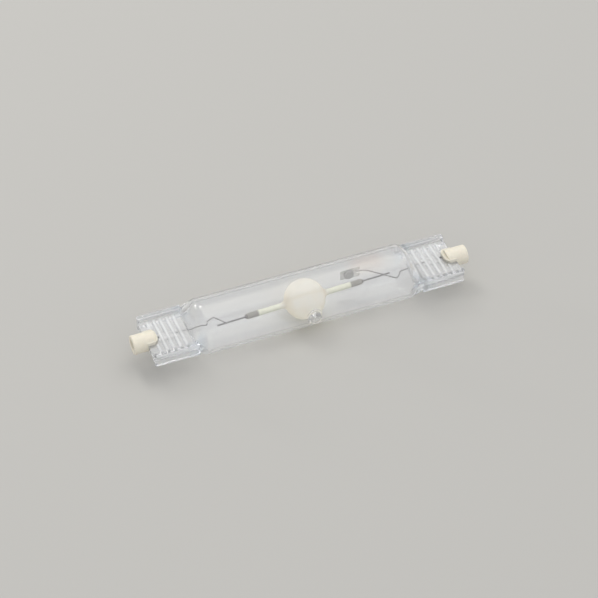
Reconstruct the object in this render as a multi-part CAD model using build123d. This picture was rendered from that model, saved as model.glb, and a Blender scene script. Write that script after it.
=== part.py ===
from build123d import *
import os
from math import cos, isclose, radians, sin

# Double-ended metal halide lamp, in millimetres.
# The lamp's axis is X, with the origin midway between the cap faces. Both pinches lie flat, in XY,
# and the sealed exhaust nub points along -Y. "Right" is +X and "left" is -X.
# Every piece of the right end is made first; the left end is its mirror image, apart from the bent wires.

# Whole lamp
LENGTH = 138.0  # over the faces of both caps

# Ceramic cap: a round body, and two prongs that straddle the pinch
CAP_D = 7.5
CAP_BODY = 5.2  # full round length, from the face to the bottom of the slot
PRONG_L = 3.5  # past the bottom of the slot
PRONG_ROUND = 2.4
CAP_EDGE = 0.5
RECESS_D = 3.8  # mouth that takes the holder's contact pin
RECESS_DEPTH = 3.0  # from the cap's face to the contact
RECESS_EDGE = 0.25
RECESS_LEDGE = 0.3  # floor of the recess round the contact's well

# Contact: a domed head on a tubular shank
CONTACT_HEAD_T = 0.8
CONTACT_DOME = 0.3
CONTACT_CLEAR = 0.1
SHANK_D = 1.5
SHANK_L = 1.1

# Cement between cap and pinch
CEMENT_GAP = 0.25  # between the slot and the pinch, all round
BEAD_OVER = 0.35  # past the side of the cap
BEAD_AHEAD = 1.1  # past the ends of the prongs
BEAD_H = 1.0  # above and below the web
BEAD_ROUND = 3.0

# Outer bulb: tube and shoulders
TUBE_D = 22.0
TUBE_WALL = 1.25
SHOULDER_L = 6.0  # from the end of the full round to the start of the pinch
CAVITY_END_H = 0.8  # the inside's height where it closes
SHOULDER_STEPS = 5
END_WALL = 1.0  # quartz between the inside and the pinch, along the lamp

# Pinch: a thin ribbed web between two rails
PINCH_L = 16.6
PINCH_W = 24.2
RAIL_W = 3.4
RAIL_H = 5.4
RAIL_ROUND = 1.0
PINCH_CORNER = 1.5
WEB_T = 2.2
WEB_FILLET = 0.4
RIB_PITCH = 2.6
RIB_W = 1.3
RIB_H = 0.28
FIRST_RIB = 2.7  # from the start of the pinch
RIB_CLEAR = 0.3  # between a short rib and the cement

# Exhaust nub, sealed off on the side of the tube
NUB_X = 0.9
NUB_D = 4.6
NUB_REACH = 2.3  # past the side of the tube
NUB_FOOT_D = 6.4
NUB_FOOT_H = 0.1  # above the tube
NUB_SINK = 0.8  # how deep its foot starts in the wall
NUB_NECK = 0.7  # hollow curve from the foot to the nub
NUB_ROUND = 1.4
NUB_PIT_D = 1.8
NUB_PIT_DEPTH = 2.0  # past the inside of the wall
NUB_PIT_TIP_D = 0.4

# Arc tube: a ceramic ball with two stems, tilted a little in the bulb
ARC_X = 0.9
ARC_TILT = 2.2
BALL_D = 16.1
BALL_WALL = 0.8
STEM_D = 2.3
STEM_BORE = 0.9
STEM_REACH = 24.0  # from the middle of the ball
STEM_FLARE = 2.6  # radius of the hollow curve between ball and stem

# Seals and wires on the arc tube's axis, as reach from the middle of the ball
SEAL_L = 4.6
SEAL_BEAD_D = 1.7
SEAL_BEAD_L = 0.8
SEAL_BEAD_ROUND = 0.4
NIOBIUM_D = 0.65
NIOBIUM_REACH = 36.2
INNER_LEAD_D = 0.6
INNER_LEAD_START = 12.0
ELECTRODE_D = 0.45
ELECTRODE_START = 4.3
COIL_WIRE_D = 0.24
COIL_TURNS = 5
COIL_PITCH = 0.3
COIL_CLEAR = 0.03
COIL_START = 0.9  # behind the electrode's tip

# Foils and the wires welded to them
FOIL_L = 8.0
FOIL_W = 3.5
FOIL_T = 0.05
FOIL_START = 4.0  # from the start of the pinch
WELD_LAP = 1.2
WELD_SINK = 0.04
LEAD_D = 0.45
OUTER_LEAD_D = 0.8
OUTER_LAP = 0.8
OUTER_LEAD_SEAT = 0.5  # how deep it goes into the contact's head
LEFT_STEM_Y = -0.1  # where each foil sits across its pinch
RIGHT_STEM_Y = 1.0
OUTER_BEND = 1.5

# Bends of the lead wires, along and across the lamp from each weld to the niobium wire
WIRE_BEND = 0.9
LEFT_WELD_REACH = 33.2  # along the arc tube's axis
RIGHT_WELD_REACH = 32.2
LEFT_END = (0.7, -0.9)
LEFT_PEAK = (-3.0, 4.3)
LEFT_RISE = (-5.7, 3.2)
LEFT_KINK = (-7.2, 1.1)
RIGHT_LOW = (4.9, -3.9)
RIGHT_RISE = (8.2, -0.9)
RIGHT_LOW_RUN = 1.0
RIGHT_UP = (-4.1, 4.7)

# Getter: an upright strip with a notched end, and a round pill
GETTER_L = 8.1
GETTER_H = 4.8
GETTER_T = 0.2
GETTER_X = 26.5  # the notched end
GETTER_Y = 6.4
NOTCH_L = 1.5
NOTCH_H = 1.6
GETTER_CORNER = 0.4
PILL_D = 4.1
PILL_T = 0.9
PILL_EDGE = 0.2
PILL_FROM_END = 4.7
WELD_ON_GETTER = 2.6

# Worked out from the sizes above
TUBE_R = TUBE_D / 2
CAVITY_R = TUBE_R - TUBE_WALL
FACE_X = LENGTH / 2
SLOT_X = FACE_X - CAP_BODY
PRONG_X = SLOT_X - PRONG_L
CONTACT_X = FACE_X - RECESS_DEPTH
SEAT_X = CONTACT_X - CONTACT_HEAD_T
WELL_D = RECESS_D - 2 * RECESS_LEDGE
HEAD_D = WELL_D - 2 * CONTACT_CLEAR
PINCH_END_X = SLOT_X - CEMENT_GAP
PINCH_X = PINCH_END_X - PINCH_L
SHOULDER_X = PINCH_X - SHOULDER_L
CAVITY_END_X = PINCH_X - END_WALL
RAIL_Y = (PINCH_W - RAIL_W) / 2
WEB_W = PINCH_W - 2 * RAIL_W
BEAD_X = PRONG_X - BEAD_AHEAD
BEAD_D = CAP_D + 2 * BEAD_OVER
FOIL_X = PINCH_X + FOIL_START
FOIL_END_X = FOIL_X + FOIL_L
FOIL_TOP = WELD_SINK - LEAD_D / 2
SEAL_START = STEM_REACH - SEAL_L
ARC_Z = -(LEAD_D + NIOBIUM_D) / 2 + WELD_SINK
BALL_R = BALL_D / 2
BALL_BORE_R = BALL_R - BALL_WALL


def box(x0, x1, y0, y1, z0, z1):
    """A block between two opposite corners."""
    middle = ((x0 + x1) / 2, (y0 + y1) / 2, (z0 + z1) / 2)
    return Pos(*middle) * Box(x1 - x0, y1 - y0, z1 - z0)


def rod(x0, x1, diameter):
    """A round bar along X."""
    return Pos((x0 + x1) / 2, 0, 0) * Rot(0, 90, 0) * Cylinder(diameter / 2, x1 - x0)


def across_x(x):
    """The plane across the lamp at x, with Y to its right and Z up."""
    return Plane(origin=(x, 0, 0), x_dir=(0, 1, 0), z_dir=(1, 0, 0))


def along_x(section, x0, x1):
    """A YZ section drawn out along X."""
    return extrude(across_x(x0) * section, x1 - x0)


def to_left(shape):
    """The same piece at the left end."""
    return mirror(shape, about=Plane.YZ)


def arc_point(reach):
    """Place on the arc tube's tilted axis."""
    tilt = radians(ARC_TILT)
    return Vector(ARC_X + reach * cos(tilt), reach * sin(tilt), ARC_Z)


def on_arc_axis(shape):
    """Carries a piece drawn on X into the tilted arc tube's place."""
    return Pos(ARC_X, 0, ARC_Z) * Rot(0, 0, ARC_TILT) * shape


def wire(points, diameter, bend):
    """A round wire through points, with an arc at each real bend."""
    route = [Vector(*points[0])]
    for here, after in zip(points[1:], points[2:]):
        here = Vector(*here)
        if (here - route[-1]).get_angle(Vector(*after) - here) > 0.5:
            route.append(here)
    route.append(Vector(*points[-1]))
    path = Line(*route) if len(route) == 2 else FilletPolyline(*route, radius=bend)
    return sweep(Plane(origin=path @ 0, z_dir=path % 0) * Circle(diameter / 2), path=path)


def shoulder(radius, end_y, end_z, end_x):
    """The right shoulder, closing from a circle to a flat ellipse."""
    sections = []
    for step in range(SHOULDER_STEPS + 1):
        t = step / SHOULDER_STEPS
        across = radius + (end_y - radius) * t * t * (3 - 2 * t)
        high = end_z + (radius - end_z) * (1 - t * t)
        sections.append(across_x(SHOULDER_X + t * (end_x - SHOULDER_X)) * Ellipse(across, high))
    return loft(sections)


def ribs():
    """Ridges across both faces of the web; beside the cap they stop short of the cement."""
    rib_ends = WEB_W / 2 + RAIL_W / 2
    seat = BEAD_D / 2 + RIB_CLEAR
    count = int((PINCH_L - FIRST_RIB - RIB_W) / RIB_PITCH) + 1
    pieces = []
    for index in range(count):
        x = PINCH_X + FIRST_RIB + index * RIB_PITCH
        spans = [(-rib_ends, rib_ends)]
        if x + RIB_W / 2 > BEAD_X - RIB_CLEAR:
            spans = [(-rib_ends, -seat), (seat, rib_ends)]
        for y0, y1 in spans:
            for face in (-1, 1):
                profile = Plane(origin=(x, y1, face * WEB_T / 2), x_dir=(1, 0, 0), z_dir=(0, -1, 0))
                pieces.append(extrude(profile * Ellipse(RIB_W / 2, RIB_H), y1 - y0))
    return pieces


def pinch():
    """The right pinch: web, rails and ribs, with rounded outer corners."""
    rail = Pos(RAIL_Y, 0) * RectangleRounded(RAIL_W, RAIL_H, RAIL_ROUND)
    section = Rectangle(PINCH_W - RAIL_W, WEB_T) + rail + mirror(rail, about=Plane.YZ)
    section = fillet([v for v in section.vertices() if isclose(abs(v.Y), WEB_T / 2)], WEB_FILLET)
    body = along_x(section, CAVITY_END_X, PINCH_END_X) + ribs()
    plan = Pos((CAVITY_END_X + PINCH_END_X) / 2, 0) * Rectangle(PINCH_END_X - CAVITY_END_X, PINCH_W)
    plan = fillet(plan.vertices().group_by(Axis.X)[-1], PINCH_CORNER)
    return body & Pos(0, 0, -RAIL_H) * extrude(plan, 2 * RAIL_H)


def nub():
    """The sealed exhaust tube: a rounded stub with a hollow curve down to its foot, pointing along -Y."""
    start = TUBE_R - NUB_SINK
    foot_top = TUBE_R + NUB_FOOT_H
    top = TUBE_R + NUB_REACH
    foot = Pos(0, 0, (start + foot_top) / 2) * Cylinder(NUB_FOOT_D / 2, foot_top - start)
    stub = Pos(0, 0, (start + top) / 2) * Cylinder(NUB_D / 2, top - start)
    blown = foot + stub
    rims = [edge for edge in blown.edges().filter_by(GeomType.CIRCLE) if isclose(edge.radius, NUB_D / 2)]
    blown = fillet(ShapeList(rims).sort_by(Axis.Z)[0], NUB_NECK)
    blown = fillet(blown.edges().filter_by(GeomType.CIRCLE).sort_by(Axis.Z)[-1], NUB_ROUND)
    return Pos(NUB_X, 0, 0) * Rot(90, 0, 0) * blown


def nub_pit():
    """The funnel left inside the nub."""
    height = NUB_PIT_DEPTH + NUB_SINK
    start = CAVITY_R - NUB_SINK
    funnel = Cone(NUB_PIT_D / 2, NUB_PIT_TIP_D / 2, height)
    return Pos(NUB_X, -(start + height / 2), 0) * Rot(90, 0, 0) * funnel


def outer_bulb(pockets):
    """Tube, shoulders, pinches and nub in one piece, less the inside and what is pressed into it."""
    solid_end = shoulder(TUBE_R, PINCH_W / 2, WEB_T / 2, PINCH_X) + pinch()
    hollow_end = shoulder(CAVITY_R, WEB_W / 2, CAVITY_END_H / 2, CAVITY_END_X)
    bulb = rod(-SHOULDER_X, SHOULDER_X, TUBE_D) + solid_end + to_left(solid_end) + nub()
    bulb = bulb - rod(-SHOULDER_X, SHOULDER_X, 2 * CAVITY_R) - hollow_end - to_left(hollow_end) - nub_pit()
    return bulb - pockets


def arc_tube():
    """Ball and stems turned from one outline, with a hollow curve where they meet."""
    outside = Circle(BALL_R) + Rectangle(2 * STEM_REACH, STEM_D)
    joints = [v for v in outside.vertices() if abs(v.X) < BALL_R]
    outside = fillet(joints, STEM_FLARE)
    inside = Circle(BALL_BORE_R) + Rectangle(2 * STEM_REACH + 1, STEM_BORE)
    upper = Pos(0, BALL_D / 2) * Rectangle(2 * STEM_REACH, BALL_D)
    return on_arc_axis(revolve((outside - inside) & upper, axis=Axis.X))


def frit_seal():
    """Glass between stem and niobium wire, ending in a rounded bead outside."""
    bead = rod(STEM_REACH, STEM_REACH + SEAL_BEAD_L, SEAL_BEAD_D)
    bead = fillet(bead.edges().filter_by(GeomType.CIRCLE).sort_by(Axis.X)[-1], SEAL_BEAD_ROUND)
    sealed = bead + rod(SEAL_START, STEM_REACH, STEM_BORE)
    return sealed - rod(SEAL_START - 1, NIOBIUM_REACH, NIOBIUM_D)


def electrode_coil():
    """Tungsten wire wound on the electrode behind its tip."""
    radius = ELECTRODE_D / 2 + COIL_CLEAR + COIL_WIRE_D / 2
    path = Helix(COIL_PITCH, COIL_PITCH * COIL_TURNS, radius)
    turns = sweep(Plane(origin=path @ 0, z_dir=path % 0) * Circle(COIL_WIRE_D / 2), path=path, is_frenet=True)
    return Pos(ELECTRODE_START + COIL_START, 0, 0) * Rot(0, 90, 0) * turns


def foil(stem_y):
    """Thin molybdenum strip that carries the current through the pinch."""
    return box(FOIL_X, FOIL_END_X, stem_y - FOIL_W / 2, stem_y + FOIL_W / 2, FOIL_TOP - FOIL_T, FOIL_TOP)


def weld_flat(x0, x1):
    """What the weld presses away from a wire that lies on a foil."""
    return box(x0, x1, -FOIL_W, FOIL_W, -OUTER_LEAD_D, FOIL_TOP)


def outer_lead(stem_y):
    """Wire from the foil to the contact, flattened where it is welded to the foil."""
    start = FOIL_END_X - OUTER_LAP
    end = SEAT_X + OUTER_LEAD_SEAT
    route = [(start, stem_y, 0), (FOIL_END_X + OUTER_LEAD_D, stem_y, 0), (PINCH_END_X, 0, 0), (end, 0, 0)]
    return wire(route, OUTER_LEAD_D, OUTER_BEND) - weld_flat(start - 1, FOIL_END_X)


def contact():
    """Domed head on a tubular shank, with the outer lead's hole from behind."""
    dome_r = ((HEAD_D / 2) ** 2 + CONTACT_DOME**2) / (2 * CONTACT_DOME)
    head = rod(SEAT_X, CONTACT_X, HEAD_D) & Pos(CONTACT_X - dome_r, 0, 0) * Sphere(dome_r)
    shank = rod(SEAT_X - SHANK_L, SEAT_X, SHANK_D)
    return head + shank - rod(SEAT_X - SHANK_L - 1, SEAT_X + OUTER_LEAD_SEAT, OUTER_LEAD_D)


def rounded_inside(x0, x1, width, radius):
    """Tall block whose plan has both inner corners rounded, to cut the ends of prongs and cement."""
    plan = Pos((x0 + x1) / 2, 0) * Rectangle(x1 - x0, width)
    plan = fillet(plan.vertices().group_by(Axis.X)[0], radius)
    return Pos(0, 0, -CAP_D) * extrude(plan, 2 * CAP_D)


def slotted_bar(end_x):
    """The cap's bar up to end_x, with rounded prong ends and the slot for the pinch."""
    half_slot = WEB_T / 2 + CEMENT_GAP
    bar = rod(PRONG_X, end_x, CAP_D) & rounded_inside(PRONG_X, end_x + CAP_D, CAP_D, PRONG_ROUND)
    return bar - box(PRONG_X, SLOT_X, -CAP_D, CAP_D, -half_slot, half_slot)


def cap():
    """Ceramic cap: slotted behind for the pinch, recessed in front for the holder's pin and the contact."""
    body = slotted_bar(FACE_X)
    rim = body.edges().filter_by(GeomType.CIRCLE).sort_by(Axis.X)[-1]
    body = fillet(rim, CAP_EDGE)
    recess = rod(CONTACT_X, FACE_X, RECESS_D)
    well = rod(SEAT_X, CONTACT_X, WELL_D)
    mouth = Cone(RECESS_D / 2, RECESS_D / 2 + RECESS_EDGE, RECESS_EDGE)
    mouth = Pos(FACE_X - RECESS_EDGE / 2, 0, 0) * Rot(0, 90, 0) * mouth
    return body - recess - mouth - well - rod(SLOT_X, CONTACT_X, SHANK_D + 2 * CONTACT_CLEAR)


def cement(lead):
    """Cement in the cap's slot, with a bead round the ends of the prongs."""
    half = WEB_T / 2 + BEAD_H
    filled = along_x(Circle(BEAD_D / 2) & Rectangle(BEAD_D, 2 * half), BEAD_X, SLOT_X)
    filled = filled & rounded_inside(BEAD_X, SLOT_X, BEAD_D, BEAD_ROUND)
    web = box(BEAD_X, PINCH_END_X, -BEAD_D, BEAD_D, -WEB_T / 2, WEB_T / 2)
    return filled - slotted_bar(SLOT_X) - web - lead


def left_lead_wire(niobium):
    """Bent wire from the left foil to the left niobium wire."""
    weld = arc_point(-LEFT_WELD_REACH)
    bends = [LEFT_KINK, LEFT_RISE, LEFT_PEAK, LEFT_END]
    route = [(-(FOIL_X + WELD_LAP), LEFT_STEM_Y, 0)] + [(weld.X + x, weld.Y + y, 0) for x, y in bends]
    return wire(route, LEAD_D, WIRE_BEND) - weld_flat(-FOIL_END_X, -FOIL_X) - niobium


def right_lead_wire(niobium):
    """Bent wire from the right foil, across the right niobium wire, to the back of the getter."""
    weld = arc_point(RIGHT_WELD_REACH)
    back = GETTER_Y + GETTER_T / 2 + LEAD_D / 2
    low, rise, up = RIGHT_LOW, RIGHT_RISE, RIGHT_UP
    route = [
        (FOIL_X + WELD_LAP, RIGHT_STEM_Y, 0),
        (weld.X + rise[0], weld.Y + rise[1], 0),
        (weld.X + low[0] + RIGHT_LOW_RUN, weld.Y + low[1], 0),
        (weld.X + low[0], weld.Y + low[1], 0),
        (weld.X + up[0], weld.Y + up[1], 0),
        (GETTER_X - NOTCH_L, back, 0),
        (GETTER_X - WELD_ON_GETTER, back, 0),
    ]
    return wire(route, LEAD_D, WIRE_BEND) - weld_flat(FOIL_X, FOIL_END_X) - niobium


def getter_strip():
    """Upright strip with a notch in its right end for the wire."""
    face = Rectangle(GETTER_L, GETTER_H)
    face = fillet(face.vertices(), GETTER_CORNER)
    face = face - Pos((GETTER_L - NOTCH_L) / 2, 0) * Rectangle(NOTCH_L, NOTCH_H)
    middle = (GETTER_X - GETTER_L / 2, GETTER_Y + GETTER_T / 2, 0)
    return extrude(Plane(origin=middle, x_dir=(1, 0, 0), z_dir=(0, -1, 0)) * face, GETTER_T)


def getter_pill():
    """Round pill pressed on the strip's front."""
    front = GETTER_Y - GETTER_T / 2
    disc = Rot(90, 0, 0) * Cylinder(PILL_D / 2, PILL_T)
    disc = Pos(GETTER_X - PILL_FROM_END, front - PILL_T / 2, 0) * disc
    return fillet(disc.edges().filter_by(GeomType.CIRCLE).sort_by(Axis.Y)[0], PILL_EDGE)


def lamp():
    """Every piece by name."""
    pieces = {"arc_tube": arc_tube(), "getter_strip": getter_strip(), "getter_pill": getter_pill()}
    ends = {"right": (lambda shape: shape, RIGHT_STEM_Y), "left": (to_left, LEFT_STEM_Y)}
    for side, (place, stem_y) in ends.items():
        lead = outer_lead(stem_y)
        pieces[f"{side}_outer_lead"] = place(lead)
        pieces[f"{side}_foil"] = place(foil(stem_y))
        pieces[f"{side}_contact"] = place(contact())
        pieces[f"{side}_cap"] = place(cap())
        pieces[f"{side}_cement"] = place(cement(lead))
        pieces[f"{side}_frit_seal"] = on_arc_axis(place(frit_seal()))
        pieces[f"{side}_niobium_lead"] = on_arc_axis(place(rod(SEAL_START, NIOBIUM_REACH, NIOBIUM_D)))
        pieces[f"{side}_inner_lead"] = on_arc_axis(place(rod(INNER_LEAD_START, SEAL_START, INNER_LEAD_D)))
        pieces[f"{side}_electrode"] = on_arc_axis(place(rod(ELECTRODE_START, INNER_LEAD_START, ELECTRODE_D)))
        pieces[f"{side}_electrode_coil"] = on_arc_axis(place(electrode_coil()))
    pieces["left_lead_wire"] = left_lead_wire(pieces["left_niobium_lead"])
    pieces["right_lead_wire"] = right_lead_wire(pieces["right_niobium_lead"])
    pressed_in = ("foil", "outer_lead", "lead_wire")
    pieces["outer_bulb"] = outer_bulb([pieces[f"{side}_{name}"] for side in ends for name in pressed_in])
    return pieces


os.makedirs("parts", exist_ok=True)
for name, piece in lamp().items():
    piece.label = name
    export_step(piece, f"parts/{name}.step")
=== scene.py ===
import math

import bpy
from bpy.props import FloatProperty, FloatVectorProperty, PointerProperty
from bpy.types import NodeSocket, Operator, Panel, PropertyGroup
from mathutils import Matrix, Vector


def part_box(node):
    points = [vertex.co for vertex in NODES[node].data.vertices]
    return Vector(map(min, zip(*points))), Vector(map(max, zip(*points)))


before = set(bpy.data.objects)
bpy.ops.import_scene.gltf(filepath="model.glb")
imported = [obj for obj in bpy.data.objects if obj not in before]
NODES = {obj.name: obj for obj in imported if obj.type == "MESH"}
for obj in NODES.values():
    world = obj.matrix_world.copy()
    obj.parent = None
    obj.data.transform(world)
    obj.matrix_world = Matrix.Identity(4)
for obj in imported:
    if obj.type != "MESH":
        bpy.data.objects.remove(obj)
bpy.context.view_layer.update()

bl_info = {
    "name": "Metal halide lamp",
    "version": (1, 0, 0),
    "blender": (4, 5, 0),
    "location": "3D View > Sidebar > Lamp",
    "description": "Finishes a double-ended metal halide lamp and sets the studio round it",
    "category": "Object",
}

# Lengths are in metres, as in the frame. X runs along the lamp and its "right" end is +X, Z points up, and the
# exhaust nub points to -Y, which is the camera's side.
MM = 0.001
SIDES = ("left", "right")

FLOOR_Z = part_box("outer_bulb")[0].z
STEM_Z = (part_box("right_frit_seal")[0].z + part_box("right_frit_seal")[1].z) / 2
STEM_END_X = {side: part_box(f"{side}_frit_seal")[1 if side == "right" else 0].x for side in SIDES}
SEAL_L = 5.4 * MM  # how much of each stem its seal fills
FOLD_X = 47.1 * MM  # where the right pinch starts
RIB_PITCH = 2.6 * MM
GRIP = 0.008 * MM  # how far the metal that the quartz grips reaches into it
CAUGHT_AFTER = 4  # bounces after which light caught in the quartz goes free, and twice as many at the nub


# Small tools for node trees. The shader is any node of the tree that they work on.

def feed(value, socket):
    """Gives a socket its value: another socket, a colour, a vector or a number."""
    if isinstance(value, NodeSocket):
        socket.id_data.links.new(value, socket)
    elif socket.type == "RGBA":
        socket.default_value = (*value, 1.0)
    else:
        socket.default_value = value


def set_inputs(node, **inputs):
    """Sets a node's inputs by name."""
    for name, value in inputs.items():
        feed(value, node.inputs[name.replace("_", " ").title().replace("Ior", "IOR")])


def add_node(shader, kind, **inputs):
    """Adds a node to the shader's tree and sets its inputs by name."""
    node = shader.id_data.nodes.new(kind)
    set_inputs(node, **inputs)
    return node


def new_material(name, **inputs):
    """A material, and its Principled shader with these inputs."""
    material = bpy.data.materials.new(name)
    material.use_nodes = True
    shader = material.node_tree.nodes["Principled BSDF"]
    set_inputs(shader, **inputs)
    return material, shader


def place(shader):
    """The surface point in the lamp's frame."""
    return add_node(shader, "ShaderNodeTexCoord").outputs["Object"]


def split(shader, vector):
    """The X, Y and Z of a vector."""
    return add_node(shader, "ShaderNodeSeparateXYZ", vector=vector).outputs


def facing(shader):
    """0 where the surface is seen head-on, and 1 where it is seen edge-on."""
    return add_node(shader, "ShaderNodeLayerWeight", blend=0.5).outputs["Facing"]


def calc(shader, operation, *values):
    """The result of a sum on one or two values. Each is a number or a socket."""
    node = add_node(shader, "ShaderNodeMath")
    node.operation = operation
    for value, socket in zip(values, node.inputs):
        feed(value, socket)
    return node.outputs[0]


def product(shader, first, *others):
    """All the values multiplied together."""
    for other in others:
        first = calc(shader, "MULTIPLY", first, other)
    return first


def along(shader, point, direction):
    """How far the point lies along the direction."""
    node = add_node(shader, "ShaderNodeVectorMath")
    node.operation = "DOT_PRODUCT"
    feed(point, node.inputs[0])
    feed(direction, node.inputs[1])
    return node.outputs["Value"]


def spread(shader, value, low, high, start, end):
    """Maps a value from start..end to low..high."""
    node = add_node(
        shader, "ShaderNodeMapRange", value=value, from_min=start, from_max=end, to_min=low, to_max=high)
    return node.outputs["Result"]


def ramp(shader, value, start, end):
    """A share that grows from 0 to 1 as the value goes from start to end, also where end is the smaller one."""
    return spread(shader, value, 0.0, 1.0, start, end)


def noise(shader, grain, detail=4.0, roughness=0.55, stretch=(1, 1, 1)):
    """Noise from 0 to 1 whose blobs are about one grain across."""
    scaled = add_node(shader, "ShaderNodeMapping", vector=place(shader), scale=stretch).outputs["Vector"]
    node = add_node(
        shader, "ShaderNodeTexNoise", vector=scaled, scale=1 / grain, detail=detail, roughness=roughness)
    return node.outputs["Fac"]


def clouds(shader, grain, detail=4.0):
    """Noise with more contrast, in soft patches."""
    return ramp(shader, noise(shader, grain, detail), 0.35, 0.65)


def blend_values(shader, share, first, second):
    """A number that goes from first to second with share. Each is a number or a socket."""
    node = add_node(shader, "ShaderNodeMix")
    for value, socket in zip((share, first, second), (s for s in node.inputs if s.type == "VALUE")):
        feed(value, socket)
    return node.outputs[0]


def blend_colours(shader, share, first, second):
    """A colour that goes from first to second with share. Each is a colour or a socket."""
    node = add_node(shader, "ShaderNodeMix")
    node.data_type = "RGBA"
    feed(share, node.inputs["Factor"])
    for value, socket in zip((first, second), (s for s in node.inputs if s.type == "RGBA")):
        feed(value, socket)
    return next(s for s in node.outputs if s.type == "RGBA")


def mix_shaders(shader, share, first, second):
    """A shader node that goes from the first one to the second with share."""
    mix = add_node(shader, "ShaderNodeMixShader")
    for value, socket in zip((share, first.outputs[0], second.outputs[0]), mix.inputs):
        feed(value, socket)
    return mix


def show(whole):
    """Makes this shader node what its tree shows."""
    output = next(node for node in whole.id_data.nodes if node.bl_idname.startswith("ShaderNodeOutput"))
    feed(whole.outputs[0], output.inputs["Surface"])


def tone(colour, share):
    """The colour made darker or paler."""
    return tuple(channel * share for channel in colour)


def mottle(shader, patches, colour, darkest):
    """Colours the surface in patches, from the colour down to its darkest tone."""
    set_inputs(shader, base_color=blend_colours(shader, patches, colour, tone(colour, darkest)))


def bump(shader, height, distance):
    """Raises the surface by height times distance."""
    node = add_node(shader, "ShaderNodeBump", strength=1.0, distance=distance, height=height)
    set_inputs(shader, normal=node.outputs["Normal"])


class Spot:
    """The surface point in the lamp's frame: x, y and z, and without their signs reach, aside and height."""

    def __init__(self, shader):
        axes = split(shader, place(shader))
        self.x, self.y, self.z = axes
        self.reach, self.aside, self.height = (calc(shader, "ABSOLUTE", axis) for axis in axes)


# Small tools for CAD nodes

def finish_nodes(material, *names):
    """Gives CAD nodes this material."""
    for name in names:
        for slot in NODES[name].material_slots:
            slot.material = material


def set_in_quartz(*names):
    """Lets metal that the quartz grips reach a hair into it, so that no light slips between the two."""
    for name in names:
        grip = NODES[name].modifiers.new("grip", "DISPLACE")
        grip.strength = GRIP
        grip.mid_level = 0.0


def both(name):
    """The left and the right node of that name."""
    return [f"{side}_{name}" for side in SIDES]


class QuartzSettings(PropertyGroup):
    """Clear quartz of the outer bulb"""
    tint: FloatVectorProperty(
        name="Tint", description="Colour that the quartz lets through", subtype="COLOR", size=3,
        min=0, max=1, default=(0.985, 0.99, 1.0))
    thick_tint: FloatVectorProperty(
        name="Thick tint", description="Colour that the thick quartz lets through", subtype="COLOR", size=3,
        min=0, max=1, default=(0.86, 0.93, 1.0))
    deposit_tint: FloatVectorProperty(
        name="Deposit", description="Colour that the quartz lets through over the getter", subtype="COLOR",
        size=3, min=0, max=1, default=(1.0, 0.93, 0.89))
    # The lines and specks are painted shade, standing in for the dark that the quartz refracts at the tube's upper
    # edge, the pinch's crease and the rib ends.
    painted_shade_colour: FloatVectorProperty(
        name="Lines", description="Colour of the thin dark lines and of the specks", subtype="COLOR", size=3,
        min=0, max=1, default=(0.05, 0.05, 0.055))
    milk_colour: FloatVectorProperty(
        name="Milk colour", description="Colour of the light that the quartz scatters", subtype="COLOR", size=3,
        min=0, max=1, default=(0.96, 0.98, 1.0))
    bend: FloatProperty(
        name="Refraction", description="Index of refraction of the quartz", min=1, max=2, default=1.458)
    haze: FloatProperty(
        name="Haze", description="How soft the milky sheen on the quartz is", subtype="FACTOR", min=0, max=1,
        default=0.12)
    milk: FloatProperty(
        name="Milk", description="Share of light that the quartz's skin scatters", subtype="FACTOR",
        min=0, max=1, default=0.07)
    rib_milk: FloatProperty(
        name="Rib milk", description="Share of light that the ribs of the pinches scatter", subtype="FACTOR",
        min=0, max=1, default=0.38)
    ripple: FloatProperty(
        name="Ripple", description="Height of the waves left by blowing and pressing",
        subtype="DISTANCE", unit="LENGTH", min=1e-6, default=0.006 * MM, precision=6)
    rib_print: FloatProperty(
        name="Rib print", description="Height of the waves that the ribs of the press leave on the rails",
        subtype="DISTANCE", unit="LENGTH", min=0, default=0.05 * MM, precision=6)


class CeramicSettings(PropertyGroup):
    """Ceramic of the arc tube and of the caps"""
    arc_colour: FloatVectorProperty(
        name="Arc tube", description="Colour of the translucent ceramic", subtype="COLOR", size=3,
        min=0, max=1, default=(1.0, 0.98, 0.945))
    stem_colour: FloatVectorProperty(
        name="Stems", description="Colour of the thin stems", subtype="COLOR", size=3,
        min=0, max=1, default=(0.985, 0.985, 0.82))
    # The ball is made yellower towards the bottom in this colour.
    lower_side_colour: FloatVectorProperty(
        name="Lower side", description="Colour of the ball's lower side, where the salts show through",
        subtype="COLOR", size=3, min=0, max=1, default=(0.995, 0.975, 0.875))
    # The collar colour also paints the ball's lengthwise shade line.
    collar_and_shade_line_colour: FloatVectorProperty(
        name="Collars", description="Colour of the ball where the stems leave it", subtype="COLOR", size=3,
        min=0, max=1, default=(0.972, 0.935, 0.86))
    cap_colour: FloatVectorProperty(
        name="Caps", description="Colour of the cream ceramic", subtype="COLOR", size=3,
        min=0, max=1, default=(0.92, 0.865, 0.73))
    cement_colour: FloatVectorProperty(
        name="Cement", description="Colour of the cement in the caps", subtype="COLOR", size=3,
        min=0, max=1, default=(0.90, 0.86, 0.74))
    seal_colour: FloatVectorProperty(
        name="Seals", description="Colour of the sealing glass in the stems", subtype="COLOR", size=3,
        min=0, max=1, default=(0.25, 0.225, 0.20))


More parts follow.
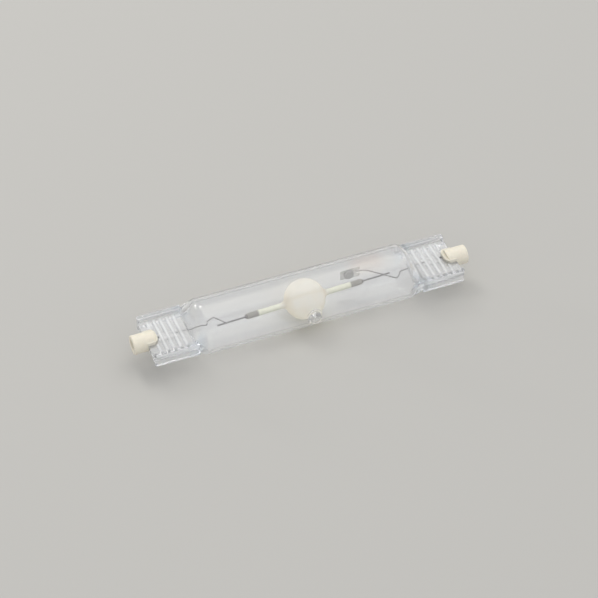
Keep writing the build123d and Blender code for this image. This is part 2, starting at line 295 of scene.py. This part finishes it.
class MetalSettings(PropertyGroup):
    """Metal of the wires, foils, contacts and getter"""
    wire_colour: FloatVectorProperty(
        name="Wires", description="Colour of the drawn molybdenum wires", subtype="COLOR", size=3,
        min=0, max=1, default=(0.30, 0.29, 0.28))
    foil_colour: FloatVectorProperty(
        name="Foils", description="Colour of the rolled foils", subtype="COLOR", size=3,
        min=0, max=1, default=(0.75, 0.75, 0.75))
    getter_colour: FloatVectorProperty(
        name="Getter", description="Colour of the getter strip", subtype="COLOR", size=3,
        min=0, max=1, default=(0.66, 0.66, 0.64))
    dark_colour: FloatVectorProperty(
        name="Leads", description="Colour of the oxidised outer leads", subtype="COLOR", size=3,
        min=0, max=1, default=(0.10, 0.10, 0.10))
    contact_colour: FloatVectorProperty(
        name="Contacts", description="Colour of the nickel contacts", subtype="COLOR", size=3,
        min=0, max=1, default=(0.55, 0.53, 0.50))


class StudioSettings(PropertyGroup):
    """Floor, lights and camera"""
    floor_colour: FloatVectorProperty(
        name="Floor", description="Colour of the floor and the background", subtype="COLOR", size=3,
        min=0, max=1, default=(0.552, 0.546, 0.521))
    key_width: FloatProperty(
        name="Key width", description="Width of the small softbox behind the lamp", subtype="DISTANCE",
        unit="LENGTH", min=0.1, default=0.38)
    key_place: FloatVectorProperty(
        name="Key place", description="Middle of the small softbox", subtype="TRANSLATION", unit="LENGTH",
        size=3, default=(-0.18, 0.83, 0.98))
    key_glow: FloatProperty(
        name="Key glow", description="Brightness of the small softbox, where 1 is white", min=0, default=6.2)
    glint_width: FloatProperty(
        name="Glint width", description="Width of the low light that makes a second glint on the shoulder",
        subtype="DISTANCE", unit="LENGTH", min=0.01, default=0.18)
    glint_place: FloatVectorProperty(
        name="Glint place", description="Middle of the low light", subtype="TRANSLATION", unit="LENGTH",
        size=3, default=(-0.745, 0.92, 0.22))
    glint_glow: FloatProperty(
        name="Glint glow", description="Brightness of the low light, where 1 is white", min=0, default=11.0)
    overhead_from: FloatVectorProperty(
        name="Overhead from", description="Direction of the wide soft light overhead", subtype="DIRECTION",
        size=3, default=(0.25, 0.15, 1.0))
    overhead_glow: FloatProperty(
        name="Overhead glow", description="Brightness of the wide soft light, where 1 is white",
        min=0, default=1.75)
    lamp_colour: FloatVectorProperty(
        name="Light", description="Colour of the lights", subtype="COLOR", size=3,
        min=0, max=1, default=(1.0, 0.975, 0.93))
    wall_colour: FloatVectorProperty(
        name="Walls", description="Colour of the dim room", subtype="COLOR", size=3,
        min=0, max=1, default=(0.48, 0.49, 0.52))
    front_colour: FloatVectorProperty(
        name="Front wall", description="Colour of the paler wall behind the camera", subtype="COLOR", size=3,
        min=0, max=1, default=(0.87, 0.88, 0.91))
    camera_place: FloatVectorProperty(
        name="Camera", description="Place of the camera", subtype="TRANSLATION", unit="LENGTH", size=3,
        default=(-231.0 * MM, -575.3 * MM, 591.1 * MM))
    camera_aim: FloatVectorProperty(
        name="Aim", description="Point that the camera looks at", subtype="TRANSLATION", unit="LENGTH",
        size=3, default=(-1.13 * MM, 0.34 * MM, -0.15 * MM))
    lens_mm: FloatProperty(
        name="Lens", description="Focal length of the camera, in millimetres on a 36 mm sensor",
        min=10, default=134.06)


class LAMP_OT_outer_bulb(Operator):
    """Make the outer bulb of clear quartz"""
    bl_idname = "lamp.outer_bulb"
    bl_label = "Outer bulb"

    def execute(self, context):
        look = context.scene.lamp_quartz
        material, shader = new_material(
            "Clear quartz", roughness=0.0, ior=look.bend, transmission_weight=1.0, coat_weight=0.15,
            coat_roughness=look.haze)
        spot = Spot(shader)
        set_inputs(shader, base_color=self.colour(shader, spot, look))
        bump(shader, self.waves(shader, spot, look), look.ripple)
        self.let_lamps_through(shader, spot, look)
        finish_nodes(material, "outer_bulb")
        return {"FINISHED"}

    def waves(self, shader, spot, look):
        """Slow waves all over, and the print of the ribs on the rails, in ripple heights."""
        slow = noise(shader, 9 * MM, detail=1.5, stretch=(0.5, 1, 1))
        rails = spread(shader, spot.height, 0.0, look.rib_print / look.ripple, 1.2 * MM, 1.7 * MM)
        pinches = ramp(shader, spot.reach, 47.5 * MM, 49 * MM)
        return calc(shader, "ADD", slow, product(shader, rails, pinches, self.rib_wave(shader, spot)))

    def rib_wave(self, shader, spot):
        """A wave along the lamp from -1 to 1, with the pitch of the ribs."""
        return calc(shader, "SINE", calc(shader, "MULTIPLY", spot.reach, 2 * math.pi / RIB_PITCH))

    def colour(self, shader, spot, look):
        """The colour that the quartz lets through, with painted shade: dark lines and specks that stand in for what
        it refracts at its edges and rib ends.
        """
        clear = blend_colours(shader, self.thick(shader, spot), look.tint, look.thick_tint)
        clear = blend_colours(shader, self.deposit(shader, spot), clear, look.deposit_tint)
        # Painted shade: the edge line, the crease line and the specks darken what the quartz lets through.
        dark = calc(shader, "MAXIMUM", self.painted_rim_shade(shader, spot), self.painted_fold_shade(shader, spot))
        dark = calc(shader, "MAXIMUM", dark, self.specks(shader, spot))
        return blend_colours(shader, dark, clear, look.painted_shade_colour)

    def thick(self, shader, spot):
        """Where the quartz is thick and shows its colour: the sides of the shoulders, where they meet the rails."""
        shoulder = ramp(shader, spot.reach, 42 * MM, 45 * MM)
        before_ribs = ramp(shader, spot.reach, 51 * MM, 48 * MM)
        side = ramp(shader, spot.aside, 7.5 * MM, 9.5 * MM)
        return product(shader, shoulder, before_ribs, side)

    def deposit(self, shader, spot):
        """A faint patch on top of the tube over the getter."""
        left_end = ramp(shader, spot.x, 17 * MM, 23 * MM)
        right_end = ramp(shader, spot.x, 35 * MM, 30 * MM)
        edges = ramp(shader, spot.aside, 7 * MM, 1 * MM)
        top = ramp(shader, spot.z, 6 * MM, 8 * MM)
        return product(shader, left_end, right_end, edges, top)

    def painted_rim_shade(self, shader, spot):
        """A painted shade line along the upper edge of the tube, where it is seen edge-on, for the dark that its
        wall refracts there.
        """
        edge = ramp(shader, facing(shader), 0.71, 0.85)
        upper = ramp(shader, spot.z, 2 * MM, 5 * MM)
        back = ramp(shader, spot.y, 2 * MM, 5 * MM)
        tube = ramp(shader, spot.reach, 46 * MM, 42 * MM)
        return product(shader, edge, upper, back, tube)

    def painted_fold_shade(self, shader, spot):
        """A thin painted shade line across the start of the right pinch, for the dark that the crease there
        refracts.
        """
        off = calc(shader, "ABSOLUTE", calc(shader, "SUBTRACT", spot.x, FOLD_X))
        return spread(shader, off, 0.65, 0.0, 0.3 * MM, 0.9 * MM)

    def specks(self, shader, spot):
        """A row of painted dark specks along the crest of the front rail at each end, where the ribs end, for the
        rib ends that the rail refracts.
        """
        outer_edge = ramp(shader, spot.y, -11.7 * MM, -11.3 * MM)
        inner_edge = ramp(shader, spot.y, -9.9 * MM, -10.3 * MM)
        crest = ramp(shader, spot.height, 1.9 * MM, 2.2 * MM)
        pinches = ramp(shader, spot.reach, 49 * MM, 50 * MM)
        uneven = spread(shader, noise(shader, 0.7 * MM), -0.8, 0.8, 0.35, 0.65)
        row = spread(shader, calc(shader, "ADD", self.rib_wave(shader, spot), uneven), 0.0, 0.8, 0.0, 0.4)
        return product(shader, row, outer_edge, inner_edge, crest, pinches)

    def let_lamps_through(self, shader, spot, look):
        """Lets lamplight and scattered light pass straight, and frees light caught in a corner of the quartz."""
        path = add_node(shader, "ShaderNodeLightPath").outputs
        milk = add_node(shader, "ShaderNodeBsdfDiffuse", color=look.milk_colour)
        body = mix_shaders(shader, self.milk_share(shader, spot, look), shader, milk)
        shade = add_node(shader, "ShaderNodeBsdfTransparent", color=self.shade_colour(shader, spot))
        straight = calc(shader, "MAXIMUM", path["Is Shadow Ray"], path["Is Diffuse Ray"])
        glass = mix_shaders(shader, straight, body, shade)
        most = spread(shader, spot.reach, 2 * CAUGHT_AFTER, CAUGHT_AFTER, 5 * MM, 7 * MM)
        caught = calc(shader, "GREATER_THAN", path["Ray Depth"], most)
        show(mix_shaders(shader, caught, glass, add_node(shader, "ShaderNodeBsdfTransparent")))

    def milk_share(self, shader, spot, look):
        """The milky share: most in the ribs, more in the sides of the pinches, a little more low in the tube."""
        ribs = spread(shader, spot.height, look.milk * 3, look.rib_milk, 1.12 * MM, 1.34 * MM)
        rails = spread(shader, spot.aside, look.milk * 2.4, look.milk * 6, 11.4 * MM, 12 * MM)
        pinch = blend_values(shader, ramp(shader, spot.height, 1.55 * MM, 1.45 * MM), rails, ribs)
        low = spread(shader, spot.z, look.milk * 1.4, look.milk, -6 * MM, 0.0)
        past_nub = ramp(shader, spot.reach, 20 * MM, 30 * MM)
        corners = product(shader, ramp(shader, spot.aside, 11.1 * MM, 11.7 * MM), past_nub)
        tube = blend_values(shader, corners, low, look.milk * 4)
        return blend_values(shader, ramp(shader, spot.reach, 45 * MM, 48 * MM), tube, pinch)

    def shade_colour(self, shader, spot):
        """What the quartz leaves of the light in its shadow: less at its edges and in the solid pinches."""
        edge = ramp(shader, facing(shader), 0.45, 0.95)
        tube = blend_colours(shader, edge, (1.0, 1.0, 1.0), (0.8, 0.805, 0.81))
        pinch = blend_colours(shader, edge, (0.84, 0.84, 0.84), (0.45, 0.46, 0.47))
        return blend_colours(shader, ramp(shader, spot.reach, 44 * MM, 48 * MM), tube, pinch)


class LAMP_OT_arc_tube(Operator):
    """Make the arc tube of translucent ceramic, darker where a seal shows through its stems"""
    bl_idname = "lamp.arc_tube"
    bl_label = "Arc tube"

    def execute(self, context):
        look = context.scene.lamp_ceramic
        material, shader = new_material(
            "Translucent arc tube ceramic", roughness=0.32, subsurface_weight=0.15,
            subsurface_radius=(1.0, 0.9, 0.7), subsurface_scale=0.4 * MM)
        x, _, z = split(shader, place(shader))
        middle = (STEM_END_X["left"] + STEM_END_X["right"]) / 2
        reach = calc(shader, "ABSOLUTE", calc(shader, "SUBTRACT", x, middle))
        body = self.ball_colour(shader, z, look)
        body = blend_colours(shader, ramp(shader, reach, 5.6 * MM, 7.6 * MM), body, look.collar_and_shade_line_colour)
        # The stems carry painted shade on their lower side.
        stem = self.stem_colour(shader, z, look)
        body = blend_colours(shader, ramp(shader, reach, 8.4 * MM, 11 * MM), body, stem)
        sealed = self.sealed_share(shader, reach)
        body = blend_colours(shader, sealed, body, look.seal_colour)
        set_inputs(shader, base_color=body)
        bump(shader, noise(shader, 0.15 * MM), 0.004 * MM)
        through = add_node(shader, "ShaderNodeBsdfTranslucent", color=body)
        show(mix_shaders(shader, spread(shader, reach, 0.97, 0.3, 8 * MM, 10 * MM), shader, through))
        finish_nodes(material, "arc_tube")
        return {"FINISHED"}

    def ball_colour(self, shader, z, look):
        """Softly clouded, yellower below, with a faint painted shade line lengthwise on the upper front."""
        pale = tuple(min(1.0, channel) for channel in tone(look.arc_colour, 1.04))
        body = blend_colours(shader, clouds(shader, 3 * MM, detail=3), look.arc_colour, pale)
        # Yellower towards the bottom.
        body = blend_colours(shader, spread(shader, z, 0.8, 0.0, -8 * MM, 2 * MM), body, look.lower_side_colour)
        # Painted shade: a faint dark line lengthwise on the ball, in the collar's colour.
        off = calc(shader, "ABSOLUTE", along(shader, place(shader), (0.0, 0.83, 0.56)))
        line = spread(shader, off, 0.55, 0.0, 0.0, 1.1 * MM)
        return blend_colours(shader, line, body, look.collar_and_shade_line_colour)

    def stem_colour(self, shader, z, look):
        """The stems' colour, with painted shade that darkens their lower side."""
        # Painted shade: the lower side of each stem is made darker.
        under = ramp(shader, z, STEM_Z + 0.8 * MM, STEM_Z)
        return blend_colours(shader, under, look.stem_colour, tone(look.stem_colour, 0.82))

    def sealed_share(self, shader, reach):
        """How much of the seal shows through the ends of the stems."""
        start = (STEM_END_X["right"] - STEM_END_X["left"]) / 2 - SEAL_L
        return spread(shader, reach, 0.0, 0.8, start - 0.3 * MM, start + 0.3 * MM)


class LAMP_OT_seals(Operator):
    """Make the seals of dark sealing glass"""
    bl_idname = "lamp.seals"
    bl_label = "Seals"

    def execute(self, context):
        look = context.scene.lamp_ceramic
        material, shader = new_material("Sealing glass", roughness=0.25)
        mottle(shader, clouds(shader, 0.4 * MM), look.seal_colour, 0.6)
        bump(shader, noise(shader, 0.5 * MM), 0.03 * MM)
        finish_nodes(material, *both("frit_seal"))
        return {"FINISHED"}


def metal(name, colour, roughness, grain, stretch=(1, 1, 1)):
    """Drawn or rolled metal with fine lines and patches of colour."""
    material, shader = new_material(name, metallic=1.0)
    mottle(shader, clouds(shader, grain * 8), colour, 0.72)
    lines = noise(shader, grain, stretch=stretch)
    set_inputs(shader, roughness=spread(shader, lines, roughness - 0.08, roughness + 0.08, 0.35, 0.65))
    bump(shader, lines, 0.01 * MM)
    return material


class LAMP_OT_wires(Operator):
    """Make the wires and feed-throughs of drawn metal"""
    bl_idname = "lamp.wires"
    bl_label = "Wires"

    def execute(self, context):
        look = context.scene.lamp_metal
        grain, drawn_out = 0.1 * MM, (0.1, 1, 1)
        drawn = metal("Drawn molybdenum", look.wire_colour, 0.38, grain, drawn_out)
        dark = metal("Oxidised lead", look.dark_colour, 0.55, grain, drawn_out)
        dull = metal("Dull niobium", tone(look.wire_colour, 0.85), 0.45, grain, drawn_out)
        finish_nodes(drawn, *both("lead_wire"), *both("inner_lead"))
        finish_nodes(dull, *both("niobium_lead"))
        finish_nodes(dark, *both("outer_lead"))
        set_in_quartz(*both("lead_wire"), *both("outer_lead"))
        return {"FINISHED"}


class LAMP_OT_electrodes(Operator):
    """Make the electrodes and their coils of tungsten"""
    bl_idname = "lamp.electrodes"
    bl_label = "Electrodes"

    def execute(self, context):
        look = context.scene.lamp_metal
        tungsten = metal("Ground tungsten", tone(look.wire_colour, 1.1), 0.4, 0.08 * MM)
        finish_nodes(tungsten, *both("electrode"), *both("electrode_coil"))
        return {"FINISHED"}


class LAMP_OT_foils(Operator):
    """Make the foils of thin rolled metal"""
    bl_idname = "lamp.foils"
    bl_label = "Foils"

    def execute(self, context):
        look = context.scene.lamp_metal
        finish_nodes(metal("Rolled foil", look.foil_colour, 0.6, 0.2 * MM, (0.15, 1, 1)), *both("foil"))
        set_in_quartz(*both("foil"))
        return {"FINISHED"}


class LAMP_OT_getter(Operator):
    """Make the getter strip of rolled metal and its pill of pressed powder"""
    bl_idname = "lamp.getter"
    bl_label = "Getter"

    def execute(self, context):
        look = context.scene.lamp_metal
        finish_nodes(metal("Getter strip", look.getter_colour, 0.4, 0.15 * MM, (0.2, 1, 1)), "getter_strip")
        material, shader = new_material("Pressed getter powder", roughness=0.85, metallic=0.4)
        grains = noise(shader, 0.12 * MM, detail=2)
        dark, pale = tone(look.getter_colour, 0.32), tone(look.getter_colour, 0.62)
        set_inputs(shader, base_color=blend_colours(shader, grains, dark, pale))
        bump(shader, grains, 0.04 * MM)
        finish_nodes(material, "getter_pill")
        return {"FINISHED"}


class LAMP_OT_caps(Operator):
    """Make the caps of cream ceramic with a dry, faintly speckled skin"""
    bl_idname = "lamp.caps"
    bl_label = "Caps"

    def execute(self, context):
        look = context.scene.lamp_ceramic
        material, shader = new_material(
            "Cream cap ceramic", roughness=0.55, subsurface_weight=0.12, subsurface_radius=(1.0, 0.8, 0.6),
            subsurface_scale=0.6 * MM)
        mottle(shader, clouds(shader, 1.2 * MM, detail=5), look.cap_colour, 0.93)
        bump(shader, noise(shader, 0.2 * MM), 0.02 * MM)
        finish_nodes(material, *both("cap"))
        return {"FINISHED"}


class LAMP_OT_cement(Operator):
    """Make the cement of rough, pale paste"""
    bl_idname = "lamp.cement"
    bl_label = "Cement"

    def execute(self, context):
        look = context.scene.lamp_ceramic
        material, shader = new_material("Cap cement", roughness=0.9)
        grains = noise(shader, 0.35 * MM, detail=6, roughness=0.7)
        mottle(shader, grains, look.cement_colour, 0.8)
        bump(shader, grains, 0.12 * MM)
        finish_nodes(material, *both("cement"))
        return {"FINISHED"}


class LAMP_OT_contacts(Operator):
    """Make the contacts of plain nickel"""
    bl_idname = "lamp.contacts"
    bl_label = "Contacts"

    def execute(self, context):
        look = context.scene.lamp_metal
        finish_nodes(metal("Nickel contact", look.contact_colour, 0.32, 0.15 * MM), *both("contact"))
        return {"FINISHED"}


class LAMP_OT_studio(Operator):
    """Set the floor, the soft light and the camera"""
    bl_idname = "lamp.studio"
    bl_label = "Studio"

    def execute(self, context):
        scene, look = context.scene, context.scene.lamp_studio
        self.lay_floor(scene, look)
        self.light_room(scene, look)
        self.hang_light(scene, "key", look.key_place, look.key_width, look.key_glow, look.lamp_colour)
        self.hang_light(scene, "glint", look.glint_place, look.glint_width, look.glint_glow, look.lamp_colour)
        self.set_camera(scene, look)
        scene.view_settings.view_transform = "Standard"
        scene.cycles.max_bounces = 32
        scene.cycles.transmission_bounces = 32
        scene.cycles.glossy_bounces = 16
        scene.cycles.transparent_max_bounces = 32
        return {"FINISHED"}

    def lay_floor(self, scene, look):
        """A plain pale floor under the lamp."""
        side = 8.0
        corners = [(x * side / 2, y * side / 2, FLOOR_Z) for x, y in ((-1, -1), (1, -1), (1, 1), (-1, 1))]
        mesh = bpy.data.meshes.new("floor")
        mesh.from_pydata(corners, [], [(0, 1, 2, 3)])
        floor = bpy.data.objects.new("floor", mesh)
        scene.collection.objects.link(floor)
        material, _ = new_material(
            "Plain floor", base_color=look.floor_colour, roughness=0.9, specular_ior_level=0.1)
        mesh.materials.append(material)

    def light_room(self, scene, look):
        """A wide soft light overhead in a dim room, and the floor's colour all round."""
        world = bpy.data.worlds.new("Room")
        world.use_nodes = True
        overhead = world.node_tree.nodes["Background"]
        set_inputs(overhead, color=look.lamp_colour, strength=look.overhead_glow)
        walls, front, horizon = (
            add_node(overhead, "ShaderNodeBackground", color=colour)
            for colour in (look.wall_colour, look.front_colour, look.floor_colour))
        outward = add_node(overhead, "ShaderNodeTexCoord").outputs["Generated"]
        _, away, up = split(overhead, outward)
        forward = ramp(overhead, away, 0.1, -0.7)
        sides = mix_shaders(overhead, forward, walls, front)
        nearness = along(overhead, outward, Vector(look.overhead_from).normalized())
        room = mix_shaders(overhead, ramp(overhead, nearness, 0.80, 0.95), sides, overhead)
        show(mix_shaders(overhead, ramp(overhead, up, 0.12, 0.20), horizon, room))
        scene.world = world

    def hang_light(self, scene, name, middle, width, glow, colour):
        """A square softbox that faces the lamp."""
        light = bpy.data.lights.new(name, "AREA")
        light.shape = "SQUARE"
        light.size = width
        light.energy = glow * math.pi * width**2
        light.color = colour
        box = bpy.data.objects.new(name, light)
        box.location = middle
        box.rotation_euler = (-box.location).to_track_quat("-Z", "Y").to_euler()
        scene.collection.objects.link(box)

    def set_camera(self, scene, look):
        """The photograph's viewing angle."""
        camera = bpy.data.objects.new("camera", bpy.data.cameras.new("camera"))
        camera.data.sensor_width = 36.0
        camera.data.lens = look.lens_mm
        camera.location = look.camera_place
        towards = Vector(look.camera_aim) - Vector(look.camera_place)
        camera.rotation_euler = towards.to_track_quat("-Z", "Y").to_euler()
        scene.collection.objects.link(camera)
        scene.camera = camera


SETTINGS = {
    "lamp_quartz": QuartzSettings,
    "lamp_ceramic": CeramicSettings,
    "lamp_metal": MetalSettings,
    "lamp_studio": StudioSettings,
}
STEPS = (
    LAMP_OT_outer_bulb, LAMP_OT_arc_tube, LAMP_OT_seals, LAMP_OT_wires, LAMP_OT_electrodes, LAMP_OT_foils,
    LAMP_OT_getter, LAMP_OT_caps, LAMP_OT_cement, LAMP_OT_contacts, LAMP_OT_studio,
)


class LAMP_PT_pieces(Panel):
    """Lists the lamp's pieces and their settings"""
    bl_idname = "LAMP_PT_pieces"
    bl_label = "Metal halide lamp"
    bl_space_type = "VIEW_3D"
    bl_region_type = "UI"
    bl_category = "Lamp"

    def draw(self, context):
        for step in STEPS:
            self.layout.operator(step.bl_idname)
        for name, group in SETTINGS.items():
            box = self.layout.box()
            for field in group.__annotations__:
                box.prop(getattr(context.scene, name), field)


def register():
    for kind in (*SETTINGS.values(), *STEPS, LAMP_PT_pieces):
        bpy.utils.register_class(kind)
    for name, group in SETTINGS.items():
        setattr(bpy.types.Scene, name, PointerProperty(type=group))


def unregister():
    for name in SETTINGS:
        delattr(bpy.types.Scene, name)
    for kind in (LAMP_PT_pieces, *reversed(STEPS), *SETTINGS.values()):
        bpy.utils.unregister_class(kind)


def main():
    register()
    bpy.ops.lamp.outer_bulb()
    bpy.ops.lamp.arc_tube()
    bpy.ops.lamp.seals()
    bpy.ops.lamp.wires()
    bpy.ops.lamp.electrodes()
    bpy.ops.lamp.foils()
    bpy.ops.lamp.getter()
    bpy.ops.lamp.caps()
    bpy.ops.lamp.cement()
    bpy.ops.lamp.contacts()
    bpy.ops.lamp.studio()


if __name__ == "__main__":
    main()
